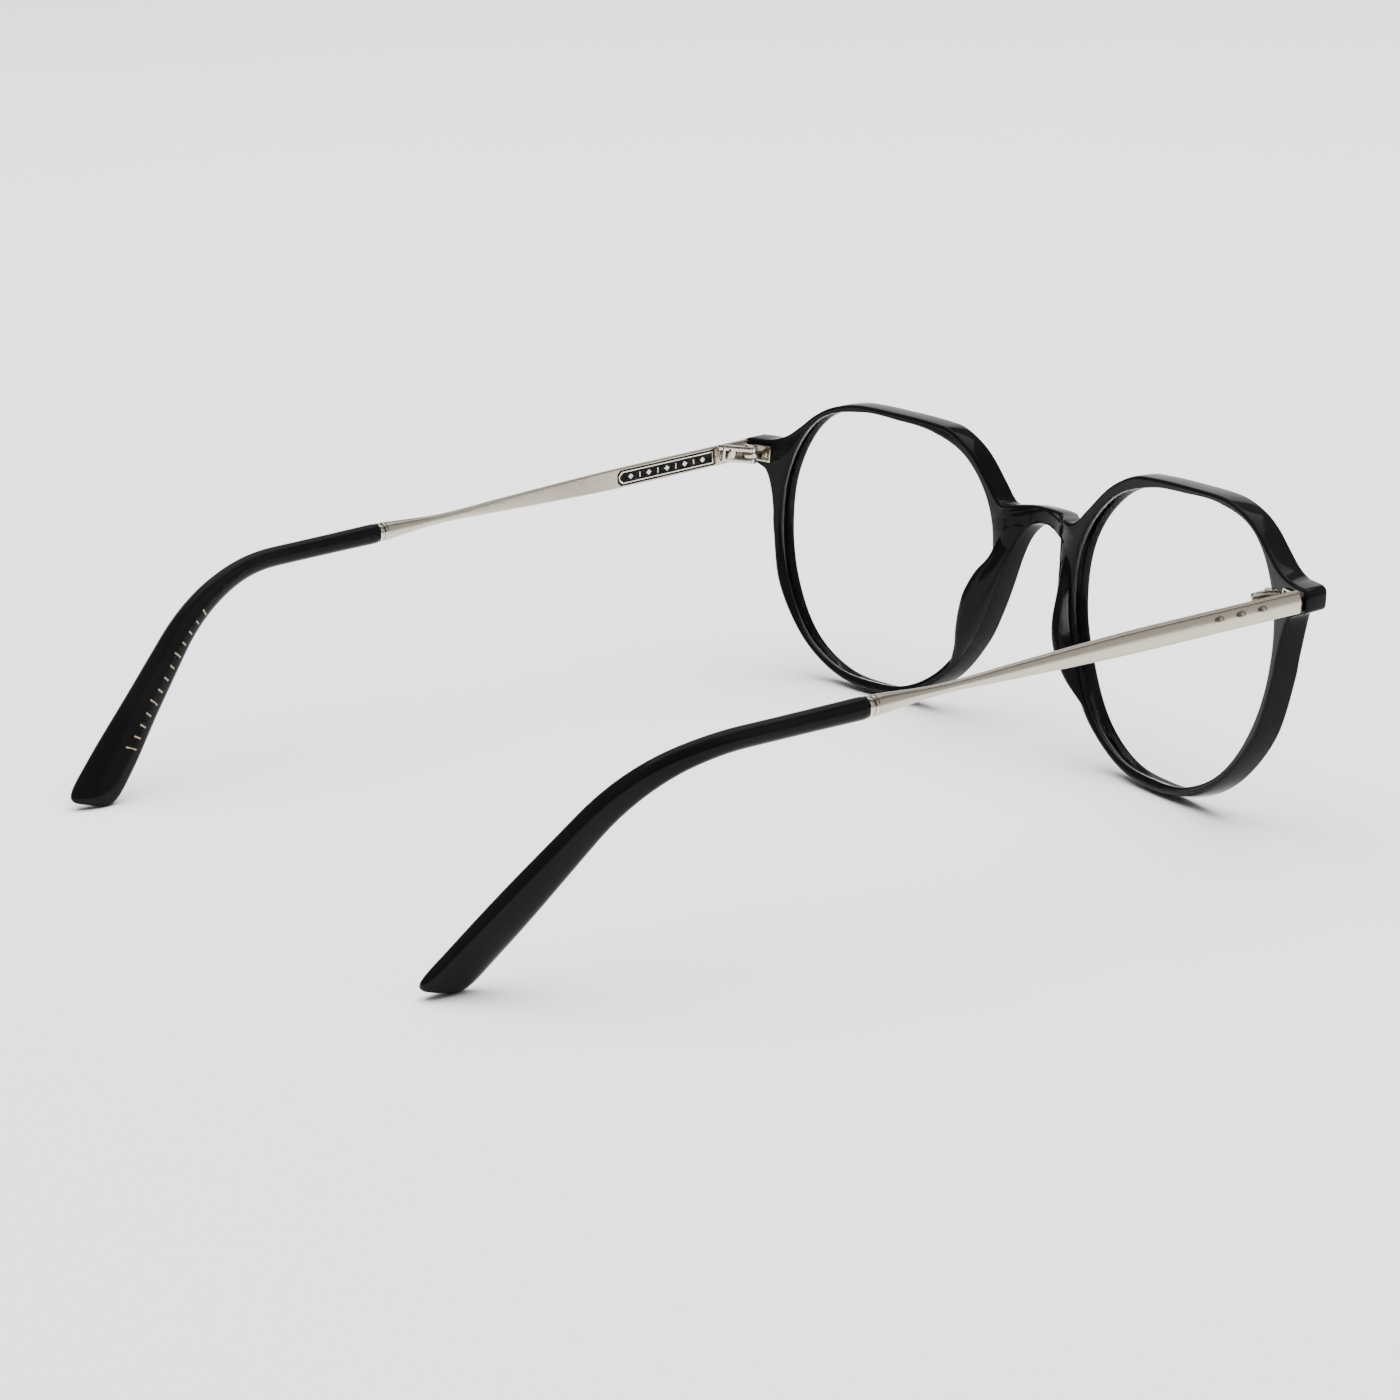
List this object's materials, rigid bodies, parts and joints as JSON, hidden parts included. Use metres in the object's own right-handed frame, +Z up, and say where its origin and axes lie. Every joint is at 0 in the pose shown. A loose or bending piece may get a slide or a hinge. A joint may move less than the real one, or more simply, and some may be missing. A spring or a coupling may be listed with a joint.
{
  "type": "eyeglasses",
  "caption": "Eyeglasses: panto-shaped black acetate front with saddle bridge and clear lenses, thin metal temples on barrel hinges, bent black temple tips.",
  "frame": {"origin": "bottom centre of the bounding box, on the surface that the rims and tips stand on", "axes": "+X to the wearer's left, +Y to the rear along the open temples, +Z up from the surface; the front leans 7.05 degrees off upright when the glasses stand on their rims and tips"},
  "size_m": [0.1354, 0.1428, 0.0454],
  "materials": {
    "black_acetate": "polished black cellulose acetate",
    "clear_lens": "clear coated lens",
    "champagne_metal": "satin champagne-coloured nickel alloy",
    "polished_metal": "polished hinge and trim metal",
    "black_enamel": "black enamel fill"
  },
  "bodies": {
    "front": {"front_frame": "black_acetate", "nose_pad_left": "black_acetate", "nose_pad_right": "black_acetate", "lens_left": "clear_lens", "lens_right": "clear_lens", "front_hinge_left": "polished_metal", "front_hinge_right": "polished_metal"},
    "left_temple": {"temple_hinge_left": "polished_metal", "hinge_screw_left": "polished_metal", "temple_bar_left": "champagne_metal", "inlay_left": "black_enamel", "rivet_left_1": "polished_metal", "rivet_left_2": "polished_metal", "rivet_left_3": "polished_metal", "tip_collar_left": "polished_metal", "temple_tip_left": "black_acetate"},
    "right_temple": {"temple_hinge_right": "polished_metal", "hinge_screw_right": "polished_metal", "temple_bar_right": "champagne_metal", "inlay_right": "black_enamel", "rivet_right_1": "polished_metal", "rivet_right_2": "polished_metal", "rivet_right_3": "polished_metal", "tip_collar_right": "polished_metal", "temple_tip_right": "black_acetate"}
  },
  "joints": [
    {"name": "left_temple_hinge", "type": "hinge", "parent": "front", "child": "left_temple", "pos_m": [0.0625, -0.05695, 0.03513], "axis": [0, -0.1227, 0.9924], "range_deg": [0, 87]},
    {"name": "right_temple_hinge", "type": "hinge", "parent": "front", "child": "right_temple", "pos_m": [-0.0625, -0.05695, 0.03513], "axis": [0, 0.1227, -0.9924], "range_deg": [0, 84]}
  ]
}
